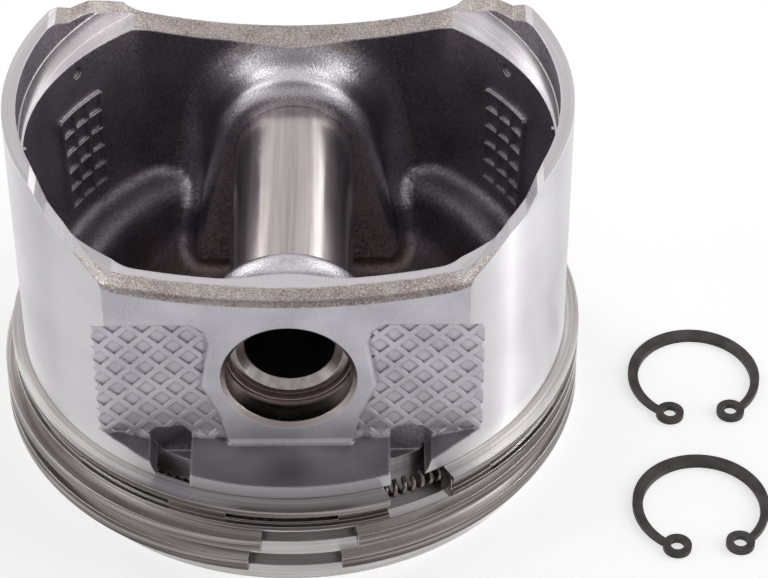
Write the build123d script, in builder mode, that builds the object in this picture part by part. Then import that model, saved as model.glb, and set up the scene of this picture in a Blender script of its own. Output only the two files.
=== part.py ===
from build123d import *
from math import atan2, cos, degrees, radians, sin, sqrt, tan
import os

os.makedirs("parts", exist_ok=True)

# The piston stands on its crown: z = 0 is the crown face, +Z runs up its axis to the open
# end of the skirt, and the gudgeon pin lies along Y. All lengths are in millimetres.

# Outside of the casting
bore_size = 100.0  # the cylinder this piston runs in
skirt_r = bore_size / 2
total_h = 70.0

# Open end: a shallow hollow over the pin, a straight slope, a small ledge, the flat skirt end
rim_low_z = 55.9
rim_arc_r = 116.0
rim_arc_x = 29.5
slope_top_x = 37.4
slope_top_z = 65.8
ledge_x = 40.4
ledge_z = 66.9
flat_low_x = 42.4
flat_low_z = 69.3
flat_start_x = 43.6
rim_round_r = 1.2

# Cast panels either side of each pin boss
panel_y = 39.3
shelf_z = 22.85
shelf_step_x = 24.6
shelf_out_x = 28.4
shelf_out_z = 24.0

# Ring belt, heights counted from the crown face
groove_1_z = 3.35
groove_1_w = 2.95
groove_2_z = 9.45
groove_2_w = 2.5
oil_groove_z = 14.25
oil_groove_w = 6.1
ring_root_r = 45.0
oil_root_r = 43.2
belt_top_z = 20.35

# Inside of the casting
wall_y = 33.2
cavity_low_z = 25.0
cavity_low_rx = 45.4
cavity_low_ry = 42.0
cavity_top_rx = 47.5
cavity_top_ry = 41.0
cavity_corner_r = 7.0
floor_z = 9.5
bowl_r = 37.0
bowl_round = 9.0
shoulder_round = 4.5
register_z = 60.0
register_r = 47.3
rim_inner_z = 64.5
rim_inner_r = 47.5

# Pin bosses
pin_z = 38.7
hub_r = 15.2
hub_inner_y = 22.0
hub_flare_deg = 10.0
hub_rim_round = 3.0
hub_wall_round = 6.5

# Pin, bore and circlip grooves
pin_d = 22.0
pin_running = 0.02  # radial clearance of the pin in its bore
pin_len = 64.4
pin_hole_d = 15.8
pin_chamfer = 0.6
pin_hole_chamfer = 1.4
bore_r = pin_d / 2 + pin_running
mouth_chamfer = 0.8
clip_groove_r = 11.75
clip_groove_y = pin_len / 2 + 0.8
clip_groove_w = 1.3

# Oil drain scoops beside the bosses
scoop_in_x = 17.4
scoop_out_x = 23.6
scoop_deep_y = 36.6
scoop_low_z = 19.0
scoop_top_z = 25.4

# Diamond grip pads cast into the panels
pad_top_z = 51.2
pad_floor_y = 37.05
pad_rib_y = 37.4
pad_slope_x = 31.0
pad_slope_z = 49.0
pad_edge_round = 0.8
rib_w = 1.15
diamond_w = 5.05
diamond_h = 4.9
diamond_at = (20.7, 47.0)

# Waffle pads cast on the inside wall
waffle_low_z = 29.6
waffle_rows = 5
waffle_row_h = 4.1
waffle_from_deg = 21.5
waffle_to_deg = 36.0
waffle_cols = 3
waffle_rib_w = 0.65
waffle_rib_h = 0.55
ridge_deg = 3.0
ridge_w = 0.7

# Ejector pin marks
mark_deg = 29.8
mark_z = 57.3
mark_d = 2.2
mark_floor_r = 45.8

# Rings, drawn as they lie, sprung open in their grooves
flank_gap = 0.05
ring_t = 4.3
top_ring_r = 53.6
top_ring_at = (-0.7, 2.0)
top_ring_gap = (-7.5, 10.3)  # degrees from the front, positive to the right
second_ring_r = 53.4
second_ring_at = (-0.7, 0.9)
second_ring_gap = (-5.0, 13.5)
oil_ring_r = 52.3
oil_ring_inner_r = 48.3
oil_ring_at = (0.3, -1.2)
oil_ring_gap = (19.0, 32.7)
oil_slot_count = 10
oil_slot_deg = 22.0
oil_slot_from_gap = 27.9
oil_slot_pitch = 33.8
oil_bevel = 1.5
oil_bevel_h = 1.7
channel_low_z = 16.7
channel_top_z = 19.1
channel_deep = 0.9
slot_low_z = 17.1
slot_h = 1.6
coil_z = 17.3
coil_tube_r = 1.65
coil_circle_r = 46.95

# Circlips lying on the table
clip_r = 12.45
clip_t = 1.0
clip_side_w = 1.8
clip_ecc = 0.7
lug_r = 2.6
lug_hole_r = 1.25
lug_circle_r = 11.4
lug_spread = 30.0  # degrees either side of the middle of the opening
clip_back_at = (75.4, 1.0)
clip_back_turn = 2.5
clip_front_at = (73.95, -33.0)
clip_front_turn = 3.5


def at_angle(centre, r, deg_from_front):
    a = radians(deg_from_front)
    return (centre[0] + r * sin(a), centre[1] - r * cos(a))


def at_azimuth(r, deg):
    return (r * cos(radians(deg)), r * sin(radians(deg)))


# Casting, outside

rim_arc_z = rim_low_z + rim_arc_r - sqrt(rim_arc_r**2 - rim_arc_x**2)
high = total_h + 20
wide = skirt_r + 20

with BuildPart() as piston:
    Cylinder(skirt_r, total_h, align=(Align.CENTER, Align.CENTER, Align.MIN))

    # open end, cut to its wave shape along the pin axis
    with BuildSketch(Plane.XZ) as rim_cut:
        with BuildLine():
            ThreePointArc((-rim_arc_x, rim_arc_z), (0, rim_low_z), (rim_arc_x, rim_arc_z))
            Polyline(
                (rim_arc_x, rim_arc_z),
                (slope_top_x, slope_top_z),
                (ledge_x, ledge_z),
                (flat_low_x, flat_low_z),
                (flat_start_x, total_h),
                (flat_start_x, high),
                (-flat_start_x, high),
                (-flat_start_x, total_h),
                (-flat_low_x, flat_low_z),
                (-ledge_x, ledge_z),
                (-slope_top_x, slope_top_z),
                (-rim_arc_x, rim_arc_z),
            )
        make_face()
        low_corners = rim_cut.vertices().filter_by(lambda v: abs(v.Y - rim_arc_z) < 0.01)
        fillet(low_corners, 12)
    extrude(amount=wide, both=True, mode=Mode.SUBTRACT)

    # flat panels over the bosses, standing on a shelf above the ring belt
    for side in (-1, 1):
        with BuildSketch(Plane.XZ.offset(-side * panel_y)):
            with BuildLine():
                Polyline(
                    (-wide, high),
                    (-wide, shelf_out_z + 0.6),
                    (-shelf_out_x - 5, shelf_out_z + 0.6),
                    (-shelf_out_x, shelf_out_z),
                    (-shelf_step_x, shelf_z),
                    (shelf_step_x, shelf_z),
                    (shelf_out_x, shelf_out_z),
                    (shelf_out_x + 5, shelf_out_z + 0.6),
                    (wide, shelf_out_z + 0.6),
                    (wide, high),
                    (-wide, high),
                )
            make_face()
        extrude(amount=-side * 20, mode=Mode.SUBTRACT)

    # rounded as-cast edge round the outside of the open end, up to the machined skirt end
    def soft_rim(edge):
        spot = edge @ 0.5
        low = edge.bounding_box().max.Z < slope_top_z + 0.2
        outside = abs(spot.Y) > panel_y - 0.01 and spot.Z > rim_low_z - 1
        return low and outside and abs(spot.X) < slope_top_x

    soft_edges = piston.edges().filter_by(soft_rim)
    fillet(soft_edges, rim_round_r)

    # grip pads: a sunk field, then the diamonds between the ribs sunk deeper
    for side in (-1, 1):
        for depth_y, ribs in ((pad_rib_y, False), (pad_floor_y, True)):
            with BuildSketch(Plane.XZ.offset(-side * depth_y)) as pads:
                for hand in (-1, 1):
                    with BuildLine():
                        Polyline(
                            (hand * 40, shelf_out_z + 0.6),
                            (hand * (shelf_out_x + 5), shelf_out_z + 0.6),
                            (hand * shelf_out_x, shelf_out_z),
                            (hand * shelf_step_x, shelf_z),
                            (hand * 11.0, shelf_z),
                            (hand * 12.2, 29.0),
                            (hand * 15.2, 36.5),
                            (hand * 13.7, 46.4),
                            (hand * 14.4, 49.2),
                            (hand * 17.4, pad_top_z),
                            (hand * pad_slope_x, pad_top_z),
                            (hand * (pad_slope_x + 3), pad_slope_z),
                            (hand * 40, pad_slope_z),
                            (hand * 40, shelf_out_z + 0.6),
                        )
                    make_face()
                if ribs:
                    lean = degrees(atan2(diamond_h, diamond_w))
                    for k in range(-15, 8):
                        with Locations((diamond_at[0] + k * diamond_w, diamond_at[1])):
                            Rectangle(90, rib_w, rotation=lean, mode=Mode.SUBTRACT)
                            Rectangle(90, rib_w, rotation=-lean, mode=Mode.SUBTRACT)
            extrude(amount=-side * 20, mode=Mode.SUBTRACT)

    # soft edge where each boss stands proud of its pads
    def boss_side(edge):
        spot = edge @ 0.5
        on_panel = abs(abs(spot.Y) - panel_y) < 0.01
        return on_panel and 10 < abs(spot.X) < 17 and shelf_z < spot.Z < pad_top_z - 0.1

    boss_sides = piston.edges().filter_by(boss_side)
    fillet(boss_sides, pad_edge_round)

    # oil drain scoops, open down into the oil groove
    for side in (-1, 1):
        with BuildSketch(Plane.XZ.offset(-side * scoop_deep_y)):
            for hand in (-1, 1):
                with BuildLine():
                    Polyline(
                        (hand * scoop_in_x, scoop_low_z),
                        (hand * (scoop_out_x - 1.2), scoop_low_z),
                        (hand * (scoop_out_x + 0.4), belt_top_z + 0.8),
                        (hand * (scoop_out_x + 1.4), scoop_top_z - 1.6),
                        (hand * (scoop_out_x - 0.4), scoop_top_z),
                        (hand * (scoop_in_x + 1.2), scoop_top_z),
                        (hand * scoop_in_x, scoop_top_z - 1.2),
                        (hand * scoop_in_x, scoop_low_z),
                    )
                make_face()
        extrude(amount=-side * 20, mode=Mode.SUBTRACT)

    # ring grooves
    for low_z, width, root_r in (
        (groove_1_z, groove_1_w, ring_root_r),
        (groove_2_z, groove_2_w, ring_root_r),
        (oil_groove_z, oil_groove_w, oil_root_r),
    ):
        with BuildSketch(Plane.XY.offset(low_z)):
            Circle(wide)
            Circle(root_r, mode=Mode.SUBTRACT)
        extrude(amount=width, mode=Mode.SUBTRACT)

# Casting, inside: the hollow is drawn as a solid and taken out of the casting


hub_tangent_x = hub_r * cos(radians(hub_flare_deg))
hub_tangent_z = pin_z + hub_r * sin(radians(hub_flare_deg))
hub_foot_x = hub_tangent_x + hub_tangent_z * tan(radians(hub_flare_deg))
rise = (high - cavity_low_z) / (total_h - cavity_low_z)


def cavity_plan(rx, ry):
    with BuildSketch() as plan:
        Ellipse(rx, ry)
        Rectangle(4 * skirt_r, 2 * wall_y, mode=Mode.INTERSECT)
        fillet(plan.vertices(), cavity_corner_r)
    return plan.sketch


with BuildPart() as hollow:
    with BuildSketch(Plane.XY.offset(cavity_low_z)):
        add(cavity_plan(cavity_low_rx, cavity_low_ry))
    with BuildSketch(Plane.XY.offset(high)):
        add(
            cavity_plan(
                cavity_low_rx + (cavity_top_rx - cavity_low_rx) * rise,
                cavity_low_ry + (cavity_top_ry - cavity_low_ry) * rise,
            )
        )
    loft()

with BuildPart() as bowl:
    with BuildSketch(Plane.XZ) as bowl_half:
        with BuildLine():
            Polyline(
                (0, floor_z),
                (bowl_r - 3, floor_z),
                (bowl_r, cavity_low_z),
                (bowl_r + 4.5, cavity_low_z),
                (bowl_r + 4.5, cavity_low_z + 3),
                (0, cavity_low_z + 3),
                (0, floor_z),
            )
        make_face()
        fillet(bowl_half.vertices().sort_by(Axis.Y)[:2].sort_by(Axis.X)[-1], bowl_round)
        shoulder = bowl_half.vertices().filter_by(lambda v: abs(v.X - bowl_r) < 0.01)
        fillet(shoulder, shoulder_round)
    revolve(axis=Axis.Z)
    Box(4 * skirt_r, 2 * wall_y, 4 * skirt_r, mode=Mode.INTERSECT)

with BuildPart() as hubs:
    for side in (-1, 1):
        with BuildSketch(Plane.XZ.offset(-side * hub_inner_y)):
            with Locations((0, pin_z)):
                Circle(hub_r)
            with BuildLine():
                Polyline(
                    (-hub_foot_x, 0),
                    (hub_foot_x, 0),
                    (hub_tangent_x, hub_tangent_z),
                    (-hub_tangent_x, hub_tangent_z),
                    (-hub_foot_x, 0),
                )
            make_face()
        extrude(amount=-side * 20)
    rims = hubs.edges().filter_by(
        lambda e: abs(abs((e @ 0.5).Y) - hub_inner_y) < 0.01 and (e @ 0.5).Z > 1
    )
    fillet(rims, hub_rim_round)

# raised ribs of the waffle pads, a parting ridge at each thrust side
with BuildPart() as ribs:
    for way in (0, 180):
        for hand in (-1, 1):
            from_a = way + hand * waffle_from_deg
            to_a = way + hand * waffle_to_deg
            for row in range(waffle_rows + 1):
                corners = [at_azimuth(r, a) for a in (from_a, to_a) for r in (40, 54)]
                corners[2:] = corners[:1:-1]
                row_z = waffle_low_z + row * waffle_row_h - waffle_rib_w / 2
                with BuildSketch(Plane.XY.offset(row_z)):
                    Polygon(*corners, align=None)
                extrude(amount=waffle_rib_w)
            for col in range(waffle_cols + 1):
                a = from_a + (to_a - from_a) * col / waffle_cols
                x, y = at_azimuth(47, a)
                with Locations(Location((x, y, waffle_low_z), (0, 0, a))):
                    Box(
                        14,
                        waffle_rib_w,
                        waffle_rows * waffle_row_h,
                        align=(Align.CENTER, Align.CENTER, Align.MIN),
                    )
        x, y = at_azimuth(47, way + ridge_deg)
        with Locations(Location((x, y, cavity_low_z + 3), (0, 0, way + ridge_deg))):
            Box(8, ridge_w, register_z - cavity_low_z, align=(Align.CENTER, Align.CENTER, Align.MIN))
    with BuildSketch(Plane.XY.offset(cavity_low_z)):
        add(cavity_plan(cavity_low_rx - waffle_rib_h, cavity_low_ry - waffle_rib_h))
    with BuildSketch(Plane.XY.offset(high)):
        add(
            cavity_plan(
                cavity_low_rx + (cavity_top_rx - cavity_low_rx) * rise - waffle_rib_h,
                cavity_low_ry + (cavity_top_ry - cavity_low_ry) * rise - waffle_rib_h,
            )
        )
    loft(mode=Mode.SUBTRACT)


def wall_foot(edge):
    spot = edge @ 0.5
    box = edge.bounding_box()
    flat = abs(box.min.Z - cavity_low_z) < 0.01 and abs(box.max.Z - cavity_low_z) < 0.01
    return flat and abs(spot.X) > 27.5 and spot.X**2 + spot.Y**2 > (bowl_r + 5) ** 2


def hub_wall(edge):
    spot = edge @ 0.5
    box = edge.bounding_box()
    on_wall = min(abs(box.min.Y), abs(box.max.Y)) > wall_y - 0.02
    return on_wall and abs(spot.X) < 19 and cavity_low_z < spot.Z and box.max.Z < 60


with BuildPart() as core:
    add(hollow.part)
    add(bowl.part)
    add(hubs.part, mode=Mode.SUBTRACT)
    fillet(core.edges().filter_by(hub_wall), hub_wall_round)
    fillet(core.edges().filter_by(wall_foot), 3)
    add(ribs.part, mode=Mode.SUBTRACT)

with BuildPart() as casting:
    add(piston.part)
    add(core.part, mode=Mode.SUBTRACT)

    # turned register inside the open end
    for low_z, r in ((register_z, register_r), (rim_inner_z, rim_inner_r)):
        with BuildSketch(Plane.XY.offset(low_z)):
            Circle(r)
        extrude(amount=high, mode=Mode.SUBTRACT)

    # ejector pin marks just under the register
    for a in (mark_deg, -mark_deg, 180 + mark_deg, 180 - mark_deg):
        x, y = at_azimuth(mark_floor_r - 4, a)
        with Locations(Plane(origin=(x, y, mark_z), z_dir=at_azimuth(1, a) + (0,))):
            Cylinder(mark_d / 2, 8, mode=Mode.SUBTRACT)

    # bore for the pin, its mouths and the circlip grooves
    with BuildSketch(Plane.XZ):
        with Locations((0, pin_z)):
            Circle(bore_r)
    extrude(amount=wide, both=True, mode=Mode.SUBTRACT)
    for side in (-1, 1):
        with BuildSketch(Plane.XZ.offset(-side * clip_groove_y)):
            with Locations((0, pin_z)):
                Circle(clip_groove_r)
        extrude(amount=-side * clip_groove_w, mode=Mode.SUBTRACT)
        mouths = casting.edges().filter_by(GeomType.CIRCLE).filter_by(
            lambda e: abs(e.radius - bore_r) < 0.01 and abs((e @ 0.5).Y - side * panel_y) < 0.01
        )
        chamfer(mouths, mouth_chamfer)

casting.part.label = "piston_body"
export_step(casting.part, "parts/piston_body.step")

# Gudgeon pin

with BuildPart() as pin:
    with BuildSketch(Plane.XZ.offset(-pin_len / 2)):
        with Locations((0, pin_z)):
            Circle(pin_d / 2)
            Circle(pin_hole_d / 2, mode=Mode.SUBTRACT)
    extrude(amount=pin_len)
    ends = pin.edges().filter_by(GeomType.CIRCLE)
    chamfer(ends.filter_by(lambda e: e.radius > pin_hole_d / 2 + 0.1), pin_chamfer)
    inner = pin.edges().filter_by(GeomType.CIRCLE)
    chamfer(inner.filter_by(lambda e: e.radius < pin_hole_d / 2 + 0.1), pin_hole_chamfer)

pin.part.label = "gudgeon_pin"
export_step(pin.part, "parts/gudgeon_pin.step")

# Compression rings


def plain_ring(at, outer_r, gap, low_z, height):
    with BuildPart() as ring:
        with BuildSketch(Plane.XY.offset(low_z)):
            with Locations(at):
                Circle(outer_r)
                Circle(outer_r - ring_t, mode=Mode.SUBTRACT)
            with BuildLine():
                Polyline(at, at_angle(at, 70, gap[0]), at_angle(at, 70, gap[1]), at)
            make_face(mode=Mode.SUBTRACT)
        extrude(amount=height)
    return ring.part


top_ring = plain_ring(
    top_ring_at, top_ring_r, top_ring_gap, groove_1_z + flank_gap, groove_1_w - 2 * flank_gap
)
top_ring.label = "top_ring"
export_step(top_ring, "parts/top_ring.step")

second_ring = plain_ring(
    second_ring_at, second_ring_r, second_ring_gap, groove_2_z + flank_gap, groove_2_w - 2 * flank_gap
)
second_ring.label = "second_ring"
export_step(second_ring, "parts/second_ring.step")

# Slotted oil ring: two rails with a channel between them, slots through the channel floor

oil_low = oil_groove_z + flank_gap
oil_top = oil_groove_z + oil_groove_w - flank_gap
oil_axis = Axis((oil_ring_at[0], oil_ring_at[1], 0), (0, 0, 1))
oil_plane = Plane(origin=(oil_ring_at[0], oil_ring_at[1], 0), x_dir=(1, 0, 0), z_dir=(0, -1, 0))

with BuildPart() as oil_ring:
    with BuildSketch(oil_plane):
        with BuildLine():
            Polyline(
                (oil_ring_inner_r, oil_low),
                (oil_ring_r - oil_bevel, oil_low),
                (oil_ring_r, oil_low + oil_bevel_h),
                (oil_ring_r, channel_low_z),
                (oil_ring_r - channel_deep, channel_low_z),
                (oil_ring_r - channel_deep, channel_top_z),
                (oil_ring_r, channel_top_z),
                (oil_ring_r, oil_top),
                (oil_ring_inner_r, oil_top),
                (oil_ring_inner_r, oil_low),
            )
        make_face()
        with Locations((coil_circle_r, coil_z)):
            Circle(coil_tube_r + flank_gap, mode=Mode.SUBTRACT)
    revolve(axis=oil_axis)
    with BuildSketch(Plane.XY):
        with BuildLine():
            Polyline(
                oil_ring_at,
                at_angle(oil_ring_at, 70, oil_ring_gap[0]),
                at_angle(oil_ring_at, 70, oil_ring_gap[1]),
                oil_ring_at,
            )
        make_face()
    extrude(amount=40, mode=Mode.SUBTRACT)
    gap_mid = (oil_ring_gap[0] + oil_ring_gap[1]) / 2
    with BuildSketch(Plane.XY.offset(slot_low_z)):
        for k in range(oil_slot_count):
            mid = gap_mid + oil_slot_from_gap + k * oil_slot_pitch
            with BuildLine():
                Polyline(
                    at_angle(oil_ring_at, 40, mid - oil_slot_deg / 2),
                    at_angle(oil_ring_at, 60, mid - oil_slot_deg / 2),
                    at_angle(oil_ring_at, 60, mid + oil_slot_deg / 2),
                    at_angle(oil_ring_at, 40, mid + oil_slot_deg / 2),
                    at_angle(oil_ring_at, 40, mid - oil_slot_deg / 2),
                )
            make_face()
    extrude(amount=slot_h, mode=Mode.SUBTRACT)

oil_ring.part.label = "oil_ring"
export_step(oil_ring.part, "parts/oil_ring.step")

# Coil spring behind the oil ring, drawn as the tube its turns fill

with BuildPart() as expander:
    with BuildSketch(oil_plane):
        with Locations((coil_circle_r, coil_z)):
            Circle(coil_tube_r)
    revolve(axis=oil_axis)

expander.part.label = "oil_ring_expander"
export_step(expander.part, "parts/oil_ring_expander.step")

# Circlips lying beside the piston


def circlip(at, turn):
    inner_r = clip_r - clip_side_w
    lugs = [at_angle(at, lug_circle_r, turn + way * lug_spread) for way in (-1, 1)]
    with BuildPart() as clip:
        with BuildSketch(Plane.XY):
            with Locations(at):
                Circle(clip_r)
            with Locations(at_angle(at, clip_ecc, turn)):
                Circle(inner_r, mode=Mode.SUBTRACT)
            with BuildLine():
                Polyline(
                    at,
                    at_angle(at, 30, turn - lug_spread),
                    at_angle(at, 30, turn + lug_spread),
                    at,
                )
            make_face(mode=Mode.SUBTRACT)
            with Locations(*lugs):
                Circle(lug_r)
                Circle(lug_hole_r, mode=Mode.SUBTRACT)
        extrude(amount=clip_t)
    return clip.part


for name, at, turn in (
    ("circlip_back", clip_back_at, clip_back_turn),
    ("circlip_front", clip_front_at, clip_front_turn),
):
    clip = circlip(at, turn)
    clip.label = name
    export_step(clip, f"parts/{name}.step")
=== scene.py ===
import math

import bpy
from mathutils import Matrix, Vector


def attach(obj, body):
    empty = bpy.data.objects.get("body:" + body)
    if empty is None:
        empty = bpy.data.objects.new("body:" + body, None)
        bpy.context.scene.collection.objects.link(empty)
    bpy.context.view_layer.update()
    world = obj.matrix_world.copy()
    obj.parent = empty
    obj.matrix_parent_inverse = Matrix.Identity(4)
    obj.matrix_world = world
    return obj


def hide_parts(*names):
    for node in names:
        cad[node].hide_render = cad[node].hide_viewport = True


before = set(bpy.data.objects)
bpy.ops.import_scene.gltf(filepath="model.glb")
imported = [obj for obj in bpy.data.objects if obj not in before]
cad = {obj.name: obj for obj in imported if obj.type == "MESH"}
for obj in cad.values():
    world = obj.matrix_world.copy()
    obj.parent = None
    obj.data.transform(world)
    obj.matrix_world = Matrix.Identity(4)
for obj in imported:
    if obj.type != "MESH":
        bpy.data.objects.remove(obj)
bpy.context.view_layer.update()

scene = bpy.context.scene
scene.view_settings.view_transform = "Standard"
mm = 0.001
pinHeight = 38.7  # mm, the gudgeon pin's axis above the crown face
print("frame loaded:", ", ".join(sorted(cad)))


# camera, standing where the photograph was taken from

photoView = {
    "place": (14.52, -414.71, 396.53),  # mm
    "turn": 0.0050,  # radians, to the right
    "down": 0.7318,
    "tilt": -0.0025,
    "lens": 141.5,  # mm
}


def placeCamera(look):
    turn, down, tilt = look["turn"], look["down"], look["tilt"]
    level = Vector((math.cos(turn), -math.sin(turn), 0))
    ahead = Vector((
        math.sin(turn) * math.cos(down),
        math.cos(turn) * math.cos(down),
        -math.sin(down),
    ))
    upright = level.cross(ahead)
    right = level * math.cos(tilt) + upright * math.sin(tilt)
    up = upright * math.cos(tilt) - level * math.sin(tilt)
    lens = bpy.data.cameras.new("photoCamera")
    lens.lens = look["lens"]
    camera = bpy.data.objects.new("photoCamera", lens)
    scene.collection.objects.link(camera)
    turned = Matrix((right, up, -ahead)).transposed().to_4x4()
    camera.matrix_world = Matrix.Translation(Vector(look["place"]) * mm) @ turned
    scene.camera = camera


placeCamera(photoView)
print("camera placed")


# studio: white paper under a pale sweep, soft boxes right, left and behind,
# and a narrow strip that draws the light line down the right of the skirt

studio = {
    "room": (0.80, 0.80, 0.82),
    "roomLevel": 0.22,
    "behindCamera": (0.42, 0.40, 0.42),
    "backdrop": (0.78, 0.77, 0.78),
    "overhead": (0.20, 0.19, 0.21),
    "sweepFrom": (-0.9, 0.1),  # from behind the camera to the backdrop
    "zenithFrom": (0.70, 0.97),  # from the backdrop up to overhead
    "floor": (0.86, 0.86, 0.86),
    "floorHalf": 3,  # metres
    "floorLift": 0.62,
    "floorGlow": 0.46,
    "aimHeight": 0.03,  # metres
    "lamps": {  # metres and watts
        "softBoxRight": {"place": (1.15, -0.03, 0.46), "size": (0.95, 0.8), "power": 4.1},
        "softBoxLeft": {"place": (-1.24, -0.26, 0.54), "size": (0.8, 1.0), "power": 2.6},
        "stripRight": {"place": (1.02, -0.09, 0.22), "size": (0.03, 0.4), "power": 0.8},
        "boxBackLeft": {"place": (-0.70, 0.62, 0.62), "size": (0.4, 0.6), "power": 1.3},
        "boxBackRight": {"place": (0.62, 0.66, 0.62), "size": (0.4, 0.6), "power": 1.15},
    },
}


def addNode(tree, kind, sockets=None, **values):
    made = tree.nodes.new(kind)
    for name, value in values.items():
        setattr(made, name, value)
    for name, value in (sockets or {}).items():
        if isinstance(value, bpy.types.NodeSocket):
            tree.links.new(value, made.inputs[name])
        else:
            made.inputs[name].default_value = value
    return made


def maths(tree, operation, a, b=0.0):
    return addNode(tree, "ShaderNodeMath", {0: a, 1: b}, operation=operation).outputs[0]


def vectorMaths(tree, operation, sockets, result="Vector"):
    return addNode(tree, "ShaderNodeVectorMath", sockets, operation=operation).outputs[result]


def splitAxes(tree, place):
    return addNode(tree, "ShaderNodeSeparateXYZ", {0: place}).outputs


def speckle(tree, place, perMm, detail, rough=0.55):
    sockets = {"Vector": place, "Scale": perMm, "Detail": detail, "Roughness": rough}
    return addNode(tree, "ShaderNodeTexNoise", sockets).outputs[0]


def spread(tree, value, low, high, toLow=0.0, toHigh=1.0):
    sockets = {
        "Value": value,
        "From Min": low,
        "From Max": high,
        "To Min": toLow,
        "To Max": toHigh,
    }
    return addNode(tree, "ShaderNodeMapRange", sockets).outputs[0]


def mixTones(tree, factor, a, b):
    a = a if isinstance(a, bpy.types.NodeSocket) else tuple(a) + (1,)
    b = b if isinstance(b, bpy.types.NodeSocket) else tuple(b) + (1,)
    mix = addNode(tree, "ShaderNodeMix", {0: factor, 6: a, 7: b}, data_type="RGBA")
    return mix.outputs[2]


def mixShaders(tree, factor, a, b):
    sockets = {0: factor, 1: a.outputs[0], 2: b.outputs[0]}
    return addNode(tree, "ShaderNodeMixShader", sockets)


def lightWorld(look):
    world = bpy.data.worlds.new("studioRoom")
    world.use_nodes = True
    scene.world = world
    tree = world.node_tree
    tree.nodes.clear()
    rays = addNode(tree, "ShaderNodeLightPath").outputs
    direction = addNode(tree, "ShaderNodeTexCoord").outputs["Generated"]
    parts = splitAxes(tree, direction)
    sweep = spread(tree, parts["Y"], *look["sweepFrom"])
    zenith = spread(tree, parts["Z"], *look["zenithFrom"])
    seen = mixTones(tree, sweep, look["behindCamera"], look["backdrop"])
    seen = mixTones(tree, zenith, seen, look["overhead"])
    roomSockets = {0: look["room"] + (1,), 1: look["roomLevel"]}
    room = addNode(tree, "ShaderNodeBackground", roomSockets)
    mirrored = addNode(tree, "ShaderNodeBackground", {0: seen, 1: 1.0})
    white = addNode(tree, "ShaderNodeBackground", {0: (1, 1, 1, 1), 1: 1.0})
    shiny = maths(tree, "MAXIMUM", rays["Is Glossy Ray"], rays["Is Transmission Ray"])
    lit = mixShaders(tree, shiny, room, mirrored)
    full = mixShaders(tree, rays["Is Camera Ray"], lit, white)
    addNode(tree, "ShaderNodeOutputWorld", {0: full.outputs[0]})


def layFloor(look):
    half = look["floorHalf"]
    corners = [(-half, -half, 0), (half, -half, 0), (half, half, 0), (-half, half, 0)]
    mesh = bpy.data.meshes.new("paleFloor")
    mesh.from_pydata(corners, [], [(0, 1, 2, 3)])
    floor = bpy.data.objects.new("paleFloor", mesh)
    scene.collection.objects.link(floor)
    finish = bpy.data.materials.new("paleFloor")
    finish.use_nodes = True
    tree = finish.node_tree
    tree.nodes.clear()
    rays = addNode(tree, "ShaderNodeLightPath").outputs
    paper = addNode(tree, "ShaderNodeBsdfDiffuse", {0: look["floor"] + (1,)})
    lift = maths(tree, "MULTIPLY", rays["Is Camera Ray"], look["floorLift"])
    mirrored = maths(tree, "MULTIPLY", rays["Is Glossy Ray"], look["floorGlow"])
    lift = maths(tree, "MAXIMUM", lift, mirrored)
    glow = addNode(tree, "ShaderNodeEmission", {0: (1, 1, 1, 1), 1: lift})
    both = addNode(tree, "ShaderNodeAddShader", {0: paper.outputs[0], 1: glow.outputs[0]})
    addNode(tree, "ShaderNodeOutputMaterial", {0: both.outputs[0]})
    mesh.materials.append(finish)


def hangLamps(look):
    target = Vector((0, 0, look["aimHeight"]))
    for name, lampLook in look["lamps"].items():
        light = bpy.data.lights.new(name, "AREA")
        light.shape = "RECTANGLE"
        light.size, light.size_y = lampLook["size"]
        light.energy = lampLook["power"]
        lamp = bpy.data.objects.new(name, light)
        lamp.location = lampLook["place"]
        aim = target - lamp.location
        lamp.rotation_euler = aim.to_track_quat("-Z", "Y").to_euler()
        scene.collection.objects.link(lamp)


lightWorld(studio)
layFloor(studio)
hangLamps(studio)
print("studio lit")


# finishes, every pattern measured in millimetres on the part itself

allFinishes = {
    "acrossGrooves": 0.25,  # of a turn, so that highlights stretch across the grooves
    "edgeLean": 0.25,
    "edgeSamples": 6,
    "cornerShadeSamples": 8,
    "grain": (4.0, 0.62),  # detail and roughness
    "patchDetail": 2.0,
    "lineDetail": 2.0,
    "smearPerMm": 0.09,
    "smearDetail": 3.0,
    # the part of each pattern's range that a finish is spread over
    "wide": (0.3, 0.7),
    "patches": (0.35, 0.65),
    "lines": (0.4, 0.6),
    "glints": (0.4, 0.7),
    "shine": (0.35, 0.6),
    "shineLeast": 0.35,  # of the edge's full shine
}


def startFinish(name, look):
    finish = bpy.data.materials.new(name)
    finish.use_nodes = True
    tree = finish.node_tree
    shader = tree.nodes["Principled BSDF"]
    shader.inputs["Metallic"].default_value = look["metal"]
    shader.inputs["Anisotropic"].default_value = look.get("brushed", 0.0)
    shader.inputs["Anisotropic Rotation"].default_value = allFinishes["acrossGrooves"]
    here = addNode(tree, "ShaderNodeTexCoord").outputs["Object"]
    place = vectorMaths(tree, "SCALE", {0: here, "Scale": 1 / mm})
    return finish, tree, shader, place


def edgeWearAndHighlight(tree, radius):
    # rounded normal for the edges, and a mask for the lighter edge colour: painted highlight
    # along convex and hollow edges alike, partly wear
    samples = allFinishes["edgeSamples"]
    bevel = addNode(tree, "ShaderNodeBevel", {"Radius": radius * mm}, samples=samples)
    worn = bevel.outputs[0]
    square = addNode(tree, "ShaderNodeNewGeometry").outputs["Normal"]
    same = vectorMaths(tree, "DOT_PRODUCT", {0: worn, 1: square}, "Value")
    return worn, spread(tree, same, 1.0, 1.0 - allFinishes["edgeLean"])


def raiseBumps(tree, shader, height, deep, under):
    sockets = {"Strength": 1.0, "Distance": deep * mm, "Height": height, "Normal": under}
    bump = addNode(tree, "ShaderNodeBump", sockets)
    tree.links.new(bump.outputs[0], shader.inputs["Normal"])


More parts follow.
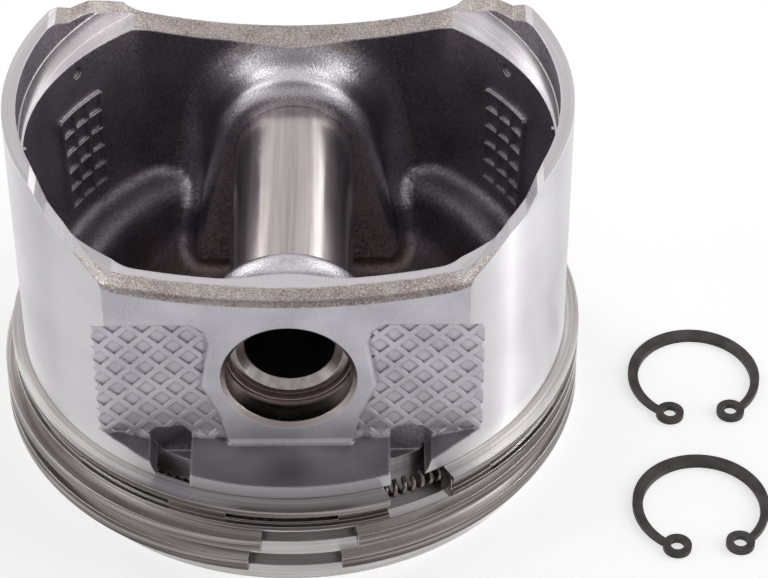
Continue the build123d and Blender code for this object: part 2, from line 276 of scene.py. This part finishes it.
def leanNormal(tree, normal, lean):
    leaning = vectorMaths(tree, "ADD", {0: normal, 1: lean})
    return vectorMaths(tree, "NORMALIZE", {0: leaning})


def fadeDeeper(tree, place, tone, patches, look):
    # darker towards the inner wall and down towards the crown
    parts = splitAxes(tree, place)
    out = spread(tree, maths(tree, "ABSOLUTE", parts["Y"]), *look["out"])
    down = spread(tree, parts["Z"], *look["down"])
    deeperTone = mixTones(tree, patches, look["dark"], look["light"])
    return mixTones(tree, maths(tree, "MAXIMUM", out, down), tone, deeperTone)


def stainLow(tree, place, tone, look):
    # brown oil stain that gathers below a height
    up = splitAxes(tree, place)["Z"]
    cloud = speckle(tree, place, look["cloudPerMm"], look["cloudDetail"])
    wander = spread(tree, cloud, *allFinishes["wide"], -look["ragged"], look["ragged"])
    depth = maths(tree, "ADD", up, wander)
    low, high = look["height"] - look["soft"], look["height"] + look["soft"]
    amount = spread(tree, depth, low, high, look["amount"], 0.0)
    return mixTones(tree, amount, tone, look["tone"])


def paintCornerShade(tree, tone, look):
    # painted shade in the inner corners of pressed patterns, darker where ambient occlusion
    # finds them shut in
    sockets, samples = {"Distance": look["reach"] * mm}, allFinishes["cornerShadeSamples"]
    shade = addNode(tree, "ShaderNodeAmbientOcclusion", sockets, samples=samples)
    amount = spread(tree, shade.outputs["AO"], look["shut"], look["free"], look["amount"], 0.0)
    return mixTones(tree, amount, tone, look["tone"])


def dishedBand(tree, place, look, tone, rough, height, worn, broad):
    # clean strip along the inner side of the front rim, leaning in towards the bore
    across = splitAxes(tree, place)["Y"]
    wander = spread(tree, broad, *allFinishes["wide"], -look["ragged"], look["ragged"])
    out = maths(tree, "ADD", maths(tree, "ABSOLUTE", across), wander)
    low, high = look["reach"] - look["soft"], look["reach"] + look["soft"]
    inside = spread(tree, out, low, high, 1.0, 0.0)
    amount = maths(tree, "MULTIPLY", inside, maths(tree, "LESS_THAN", across, 0.0))
    tone = mixTones(tree, amount, tone, look["tone"])
    rough = maths(tree, "ADD", rough, maths(tree, "MULTIPLY", amount, look["rougher"]))
    calm = maths(tree, "MULTIPLY", amount, maths(tree, "SUBTRACT", 0.5, height))
    height = maths(tree, "ADD", height, maths(tree, "MULTIPLY", calm, look["calm"]))
    leaning = maths(tree, "MULTIPLY", amount, -look["lean"])
    inwards = maths(tree, "MULTIPLY", maths(tree, "SIGN", across), leaning)
    lean = addNode(tree, "ShaderNodeCombineXYZ", {1: inwards}).outputs[0]
    return tone, rough, height, leanNormal(tree, worn, lean)


def roundFoot(tree, place, worn, edge, look):
    # hollow at the foot of the panel, turning up from the wall to the shelf; the same band
    # also gets the lighter edge colour, a painted highlight
    up = splitAxes(tree, place)["Z"]
    amount = spread(tree, up, look["top"], look["low"])
    lift = addNode(tree, "ShaderNodeCombineXYZ", {2: amount}).outputs[0]
    return leanNormal(tree, worn, lift), maths(tree, "MAXIMUM", edge, amount)


def castFinish(name, look):
    finish, tree, shader, place = startFinish(name, look)
    fine = speckle(tree, place, look["grainPerMm"], *allFinishes["grain"])
    broad = speckle(tree, place, look["patchPerMm"], allFinishes["patchDetail"])
    patches = spread(tree, broad, *allFinishes["patches"])
    tone = mixTones(tree, patches, look["dark"], look["light"])
    if "deeper" in look:
        tone = fadeDeeper(tree, place, tone, patches, look["deeper"])
    glints = spread(tree, fine, *allFinishes["glints"], 0.0, look["speckle"])
    tone = mixTones(tree, glints, tone, look["glint"])
    low, high = look["rough"]
    rough = spread(tree, fine, *allFinishes["wide"], high, low)
    height = fine
    worn, edge = edgeWearAndHighlight(tree, look["edgeRound"])
    if "stain" in look:
        tone = stainLow(tree, place, tone, look["stain"])
    # painted shade in the corners of the pad lattice
    if "cornerShade" in look:
        tone = paintCornerShade(tree, tone, look["cornerShade"])
    if "band" in look:
        drawn = tone, rough, height, worn, broad
        tone, rough, height, worn = dishedBand(tree, place, look["band"], *drawn)
    if "foot" in look:
        worn, edge = roundFoot(tree, place, worn, edge, look["foot"])
    # painted highlight along the edges, partly wear, flecked by the grain
    least = allFinishes["shineLeast"] * look["edgeShine"]
    shine = spread(tree, fine, *allFinishes["shine"], least, look["edgeShine"])
    tone = mixTones(tree, maths(tree, "MULTIPLY", edge, shine), tone, look["edge"])
    tree.links.new(tone, shader.inputs["Base Color"])
    tree.links.new(rough, shader.inputs["Roughness"])
    raiseBumps(tree, shader, height, look["grainDeep"], worn)
    return finish


def lineAcross(tree, place, axis):
    # distance along the axis plus distance out from it, so that flats and rounds
    # both show tool lines
    parts = splitAxes(tree, place)
    if axis == "crown":
        along, first, second = parts["Z"], parts["X"], parts["Y"]
    else:
        along, first = parts["Y"], parts["X"]
        second = maths(tree, "SUBTRACT", parts["Z"], pinHeight)
    flat = addNode(tree, "ShaderNodeCombineXYZ", {0: first, 1: second}).outputs[0]
    out = vectorMaths(tree, "LENGTH", {0: flat}, "Value")
    return maths(tree, "ADD", along, out), first, second


def drawLines(tree, across, first, second, perMm, runPerMm):
    # a noise that is long round the axis and short across the lines
    sockets = {
        0: maths(tree, "MULTIPLY", first, runPerMm),
        1: maths(tree, "MULTIPLY", second, runPerMm),
        2: maths(tree, "MULTIPLY", across, perMm),
    }
    along = addNode(tree, "ShaderNodeCombineXYZ", sockets).outputs[0]
    return speckle(tree, along, 1.0, allFinishes["lineDetail"])


def turnedFinish(name, look):
    finish, tree, shader, place = startFinish(name, look)
    measures = lineAcross(tree, place, look.get("axis", "crown"))
    lines = drawLines(tree, *measures, look["linesPerMm"], look["runPerMm"])
    bands = drawLines(tree, *measures, look["bandsPerMm"], look["runPerMm"])
    banded = spread(tree, bands, *allFinishes["patches"])
    tone = mixTones(tree, banded, look["dark"], look["light"])
    lined = spread(tree, lines, *allFinishes["lines"], 0.0, look["lineShade"])
    tone = mixTones(tree, lined, tone, look["line"])
    worn, edge = edgeWearAndHighlight(tree, look["edgeRound"])
    # painted highlight along the edges, partly wear
    shine = maths(tree, "MULTIPLY", edge, look["edgeShine"])
    tone = mixTones(tree, shine, tone, look["edge"])
    tree.links.new(tone, shader.inputs["Base Color"])
    smear = speckle(tree, place, allFinishes["smearPerMm"], allFinishes["smearDetail"])
    rough = spread(tree, smear, *allFinishes["wide"], *look["rough"])
    tree.links.new(rough, shader.inputs["Roughness"])
    raiseBumps(tree, shader, lines, look["lineDeep"], worn)
    if "brushed" in look:
        tangent = addNode(tree, "ShaderNodeTangent", direction_type="RADIAL", axis="Z")
        tree.links.new(tangent.outputs[0], shader.inputs["Tangent"])
    return finish


# the casting: turned skirt, belt and seats, honed pin bore, the rest as cast

castingLook = {
    "finishes": {
        "skirtTurned": {
            "metal": 1.0,
            "dark": (0.64, 0.63, 0.64),
            "light": (0.70, 0.69, 0.70),
            "line": (0.62, 0.61, 0.62),
            "edge": (0.90, 0.89, 0.90),
            "linesPerMm": 2.2,
            "bandsPerMm": 0.08,
            "runPerMm": 0.015,
            "lineShade": 0.15,
            "lineDeep": 0.0015,
            "edgeRound": 0.25,
            "edgeShine": 0.7,
            "rough": (0.36, 0.42),
            "brushed": 1.0,
        },
        "beltTurned": {
            "metal": 1.0,
            "dark": (0.70, 0.67, 0.67),
            "light": (0.90, 0.88, 0.88),
            "line": (0.44, 0.41, 0.40),
            "edge": (0.92, 0.90, 0.90),
            "linesPerMm": 2.8,
            "bandsPerMm": 0.30,
            "runPerMm": 0.02,
            "lineShade": 0.45,
            "lineDeep": 0.006,
            "edgeRound": 0.22,
            "edgeShine": 0.8,
            "rough": (0.34, 0.46),
            "brushed": 0.95,
        },
        "seatTurned": {
            "metal": 1.0,
            "dark": (0.66, 0.63, 0.64),
            "light": (0.82, 0.80, 0.81),
            "line": (0.50, 0.48, 0.49),
            "edge": (0.90, 0.88, 0.88),
            "linesPerMm": 1.6,
            "bandsPerMm": 0.25,
            "runPerMm": 0.02,
            "lineShade": 0.35,
            "lineDeep": 0.006,
            "edgeRound": 0.2,
            "edgeShine": 0.6,
            "rough": (0.22, 0.36),
            "brushed": 0.3,
        },
        "panelCast": {
            "metal": 0.75,
            "dark": (0.62, 0.605, 0.65),
            "light": (0.76, 0.745, 0.79),
            "glint": (0.80, 0.79, 0.84),
            "edge": (0.80, 0.79, 0.82),
            "grainPerMm": 2.6,
            "patchPerMm": 0.12,
            "speckle": 0.45,
            "grainDeep": 0.05,
            "edgeRound": 0.45,
            "edgeShine": 0.45,
            "rough": (0.42, 0.62),
            "foot": {"top": 24.6, "low": 23.2},
            # painted shade in the corners of the pad lattice
            "cornerShade": {
                "reach": 1.1,
                "shut": 0.55,
                "free": 0.90,
                "amount": 0.6,
                "tone": (0.27, 0.26, 0.29),
            },
        },
        "rimCast": {
            "metal": 0.85,
            "dark": (0.27, 0.215, 0.195),
            "light": (0.42, 0.36, 0.335),
            "glint": (0.86, 0.83, 0.80),
            "edge": (0.88, 0.86, 0.86),
            "grainPerMm": 2.8,
            "patchPerMm": 0.22,
            "speckle": 0.85,
            "grainDeep": 0.09,
            "edgeRound": 0.4,
            "edgeShine": 0.6,
            "rough": (0.20, 0.50),
            "band": {
                "reach": 35.0,
                "soft": 0.2,
                "ragged": 0.25,
                "tone": (0.80, 0.765, 0.79),
                "rougher": 0.02,
                "calm": 0.6,
                "lean": 0.22,
            },
        },
        "shelfCast": {
            "metal": 0.8,
            "dark": (0.26, 0.24, 0.25),
            "light": (0.50, 0.47, 0.49),
            "glint": (0.42, 0.40, 0.41),
            "edge": (0.95, 0.93, 0.94),
            "grainPerMm": 2.6,
            "patchPerMm": 0.07,
            "speckle": 0.5,
            "grainDeep": 0.05,
            "edgeRound": 0.9,
            "edgeShine": 1.0,
            "rough": (0.30, 0.50),
        },
        "hubCast": {
            "metal": 0.92,
            "dark": (0.56, 0.535, 0.565),
            "light": (0.82, 0.79, 0.83),
            "glint": (0.88, 0.86, 0.89),
            "edge": (0.80, 0.78, 0.80),
            "grainPerMm": 2.2,
            "patchPerMm": 0.12,
            "speckle": 0.9,
            "grainDeep": 0.10,
            "edgeRound": 0.5,
            "edgeShine": 0.4,
            "rough": (0.14, 0.32),
            "deeper": {
                "dark": (0.24, 0.21, 0.24),
                "light": (0.41, 0.375, 0.415),
                "out": (29.5, 33.0),
                "down": (34.0, 16.0),
            },
        },
        "insideCast": {
            "metal": 0.9,
            "dark": (0.21, 0.185, 0.215),
            "light": (0.36, 0.325, 0.365),
            "glint": (0.75, 0.71, 0.75),
            "edge": (0.70, 0.66, 0.70),
            "grainPerMm": 1.8,
            "patchPerMm": 0.10,
            "speckle": 0.5,
            "grainDeep": 0.08,
            "edgeRound": 0.5,
            "edgeShine": 0.5,
            "rough": (0.28, 0.46),
            "stain": {
                "tone": (0.27, 0.20, 0.14),
                "height": 14.0,
                "soft": 3.0,
                "ragged": 6.0,
                "amount": 0.6,
                "cloudPerMm": 0.09,
                "cloudDetail": 3.0,
            },
        },
        "boreHoned": {
            "metal": 1.0,
            "axis": "pin",
            "dark": (0.36, 0.31, 0.30),
            "light": (0.66, 0.60, 0.58),
            "line": (0.16, 0.13, 0.125),
            "edge": (0.86, 0.84, 0.83),
            "linesPerMm": 2.4,
            "bandsPerMm": 0.5,
            "runPerMm": 0.02,
            "lineShade": 0.4,
            "lineDeep": 0.006,
            "edgeRound": 0.2,
            "edgeShine": 0.8,
            "rough": (0.18, 0.32),
        },
    },
    "plan": {  # mm, where one finish gives way to the next
        "crownFace": 0.1,
        "boreRadius": 12.0,
        "boreFrom": 20.0,
        "mouth": (32.0, 35.0),
        "beltTop": 20.4,
        "beltRadius": 42.5,
        "skirtRadius": 49.5,
        "endLow": 69.2,
        "seatHeight": (59.9, 64.4),
        "seatRadius": (44.0, 47.6),
        "rimLow": 54.0,
        "rimRadius": 33.0,
        "shelfTop": 25.6,
        "shelfFrontTop": 22.8,
        "scoopSide": (17.3, 25.3),
        "scoopDeep": 36.8,
        "scoopRadius": 38.0,
        "panelBack": 36.0,
        "panelFront": 36.5,
        "hubReach": 22.5,
        "hubLow": 20.0,
        "hubSide": (21.9, 33.15),
    },
    "facing": {  # cosines, from square on to slightly turned
        "square": 0.97,
        "nearlySquare": 0.95,
        "level": 0.9,
        "turned": 0.5,
        "rim": 0.3,
    },
}


def between(value, limits):
    return limits[0] < value < limits[1]


def castingFinishAt(face, plan, facing):
    x, y, z = face.center / mm
    nx, ny, nz = face.normal
    out = math.hypot(x, y)
    outward = (x * nx + y * ny) / max(out, 0.01)
    fromPin = math.hypot(x, z - pinHeight)
    inMouth = abs(ny) < facing["level"] or between(abs(y), plan["mouth"])
    if fromPin < plan["boreRadius"] and inMouth and abs(y) > plan["boreFrom"]:
        return "boreHoned"
    turned = abs(outward) > facing["nearlySquare"] or abs(nz) > facing["level"]
    if z < plan["beltTop"] and out > plan["beltRadius"] and turned:
        return "beltTurned"
    if z < plan["crownFace"]:
        return "beltTurned"
    if outward > facing["square"] and out > plan["skirtRadius"]:
        return "skirtTurned"
    if z > plan["endLow"] and nz > facing["turned"]:
        return "seatTurned"
    if between(z, plan["seatHeight"]) and between(out, plan["seatRadius"]):
        if outward < -facing["square"] or nz > facing["square"]:
            return "seatTurned"
    if nz > facing["rim"] and z > plan["rimLow"] and out > plan["rimRadius"]:
        return "rimCast"
    inScoop = between(abs(x), plan["scoopSide"]) and abs(y) < plan["scoopDeep"]
    if inScoop and z < plan["shelfTop"] and out > plan["scoopRadius"]:
        return "insideCast"
    if abs(y) > plan["panelBack"]:
        shelf = max(nz, abs(nx)) > facing["turned"] or z < plan["shelfFrontTop"]
        if z < plan["shelfTop"] and shelf:
            return "shelfCast"
        if ny * y > 0 or abs(y) > plan["panelFront"]:
            return "panelCast"
    aboveFloor = fromPin < plan["hubReach"] or between(z, (plan["hubLow"], pinHeight))
    if between(abs(y), plan["hubSide"]) and abs(x) < plan["hubReach"] and aboveFloor:
        return "hubCast"
    return "insideCast"


def finishCasting(look):
    mesh = cad["piston_body"].data
    mesh.materials.clear()
    slots = {}
    for name, finishLook in look["finishes"].items():
        make = turnedFinish if "linesPerMm" in finishLook else castFinish
        slots[name] = len(mesh.materials)
        mesh.materials.append(make(name, finishLook))
    count = dict.fromkeys(slots, 0)
    for face in mesh.polygons:
        name = castingFinishAt(face, look["plan"], look["facing"])
        face.material_index = slots[name]
        count[name] += 1
    print("casting finished:", count)


finishCasting(castingLook)


# gudgeon pin: ground steel

pinLook = {
    "metal": 0.9,
    "axis": "pin",
    "dark": (0.49, 0.445, 0.43),
    "light": (0.62, 0.57, 0.55),
    "line": (0.66, 0.62, 0.60),
    "edge": (0.9, 0.88, 0.87),
    "linesPerMm": 0.04,
    "bandsPerMm": 0.02,
    "runPerMm": 0.8,
    "lineShade": 0.5,
    "lineDeep": 0.006,
    "edgeRound": 0.25,
    "edgeShine": 0.6,
    "rough": (0.16, 0.28),
    "holeReach": 8.3,
    "holeLevel": 0.1,  # of the normal, along the pin
    # painted shade: the inside of the hollow pin gets a near-black finish
    "holeShade": {
        "metal": 0.6,
        "dark": (0.012, 0.008, 0.012),
        "light": (0.030, 0.022, 0.026),
        "glint": (0.05, 0.04, 0.045),
        "edge": (0.05, 0.04, 0.045),
        "grainPerMm": 1.2,
        "patchPerMm": 0.2,
        "speckle": 0.4,
        "grainDeep": 0.03,
        "edgeRound": 0.2,
        "edgeShine": 0.0,
        "rough": (0.5, 0.7),
    },
}


def finishPin(look):
    mesh = cad["gudgeon_pin"].data
    mesh.materials.clear()
    mesh.materials.append(turnedFinish("pinGround", look))
    # the inside of the hollow pin gets the near-black painted shade
    mesh.materials.append(castFinish("pinHoleShade", look["holeShade"]))
    for face in mesh.polygons:
        x, y, z = face.center / mm
        level = abs(face.normal.y) < look["holeLevel"]
        inside = math.hypot(x, z - pinHeight) < look["holeReach"]
        face.material_index = int(level and inside)


finishPin(pinLook)
print("gudgeon pin finished")


# piston rings

ringLook = {
    "metal": 1.0,
    "dark": (0.14, 0.11, 0.10),
    "light": (0.50, 0.455, 0.44),
    "line": (0.07, 0.055, 0.05),
    "edge": (0.88, 0.86, 0.85),
    "linesPerMm": 1.9,
    "bandsPerMm": 0.55,
    "runPerMm": 0.02,
    "lineShade": 0.75,
    "lineDeep": 0.008,
    "edgeRound": 0.2,
    "edgeShine": 0.9,
    "rough": (0.20, 0.32),
    "brushed": 0.7,
    "flank": {
        "metal": 1.0,
        "dark": (0.50, 0.465, 0.455),
        "light": (0.90, 0.88, 0.87),
        "line": (0.32, 0.28, 0.27),
        "edge": (0.92, 0.90, 0.90),
        "linesPerMm": 1.6,
        "bandsPerMm": 0.5,
        "runPerMm": 0.02,
        "lineShade": 0.5,
        "lineDeep": 0.004,
        "edgeRound": 0.2,
        "edgeShine": 0.8,
        "rough": (0.24, 0.36),
        "brushed": 0.3,
    },
    "flankFrom": 0.7,  # of the normal, along the axis
}


def finishRings(look):
    finishes = turnedFinish("ringFace", look), turnedFinish("ringFlank", look["flank"])
    for name in ("top_ring", "second_ring", "oil_ring"):
        mesh = cad[name].data
        mesh.materials.clear()
        for finish in finishes:
            mesh.materials.append(finish)
        for face in mesh.polygons:
            face.material_index = int(abs(face.normal.z) > look["flankFrom"])


finishRings(ringLook)
print("piston rings finished")


# circlips

circlipLook = {
    "metal": 0.7,
    "dark": (0.050, 0.044, 0.045),
    "light": (0.095, 0.085, 0.086),
    "glint": (0.13, 0.115, 0.11),
    "edge": (0.24, 0.21, 0.20),
    "grainPerMm": 3.0,
    "patchPerMm": 0.3,
    "speckle": 0.5,
    "grainDeep": 0.02,
    "edgeRound": 0.15,
    "edgeShine": 0.6,
    "rough": (0.32, 0.48),
}


def finishCirclips(look):
    finish = castFinish("circlipSteel", look)
    for name in ("circlip_back", "circlip_front"):
        cad[name].data.materials.clear()
        cad[name].data.materials.append(finish)


finishCirclips(circlipLook)
print("circlips finished")


# coil spring behind the oil ring

coilLook = {
    "centre": (0.3, -1.2, 17.3),  # mm
    "circle": 46.95,
    "tube": 1.62,
    "wire": 0.44,
    "pitch": 1.75,
    "stepsPerTurn": 14,
    "sides": 7,
    "metal": 0.9,
    "dark": (0.14, 0.115, 0.10),
    "light": (0.24, 0.20, 0.175),
    "glint": (0.50, 0.46, 0.43),
    "edge": (0.3, 0.28, 0.26),
    "grainPerMm": 2.0,
    "patchPerMm": 0.4,
    "speckle": 0.4,
    "grainDeep": 0.01,
    "edgeRound": 0.05,
    "edgeShine": 0.0,
    "rough": (0.16, 0.28),
}


def windCoil(look):
    turns = round(2 * math.pi * look["circle"] / look["pitch"])
    steps = turns * look["stepsPerTurn"]
    reach = look["tube"] - look["wire"]
    centre = Vector(look["centre"])

    def spot(step):
        around = 2 * math.pi * step / steps
        wound = around * turns
        out = look["circle"] + reach * math.cos(wound)
        up = reach * math.sin(wound)
        return centre + Vector((out * math.cos(around), out * math.sin(around), up))

    points, faces = [], []
    sides = look["sides"]
    for step in range(steps):
        here = spot(step)
        ahead = (spot(step + 1) - spot(step - 1)).normalized()
        around = 2 * math.pi * step / steps
        core = centre + Vector((math.cos(around), math.sin(around), 0)) * look["circle"]
        away = (here - core).normalized()
        away = (away - ahead * away.dot(ahead)).normalized()
        side = ahead.cross(away)
        this, following = step * sides, (step + 1) % steps * sides
        for k in range(sides):
            angle = 2 * math.pi * k / sides
            skin = away * math.cos(angle) + side * math.sin(angle)
            points.append((here + skin * look["wire"]) * mm)
            beside = (k + 1) % sides
            faces.append((this + k, this + beside, following + beside, following + k))
    mesh = bpy.data.meshes.new("oilRingCoil")
    mesh.from_pydata(points, [], faces)
    for face in mesh.polygons:
        face.use_smooth = True
    mesh.materials.append(castFinish("coilSteel", look))
    coil = bpy.data.objects.new("oilRingCoil", mesh)
    scene.collection.objects.link(coil)
    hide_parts("oil_ring_expander")
    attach(coil, "scraper")
    print("coil wound:", turns, "turns,", len(faces), "faces")


windCoil(coilLook)
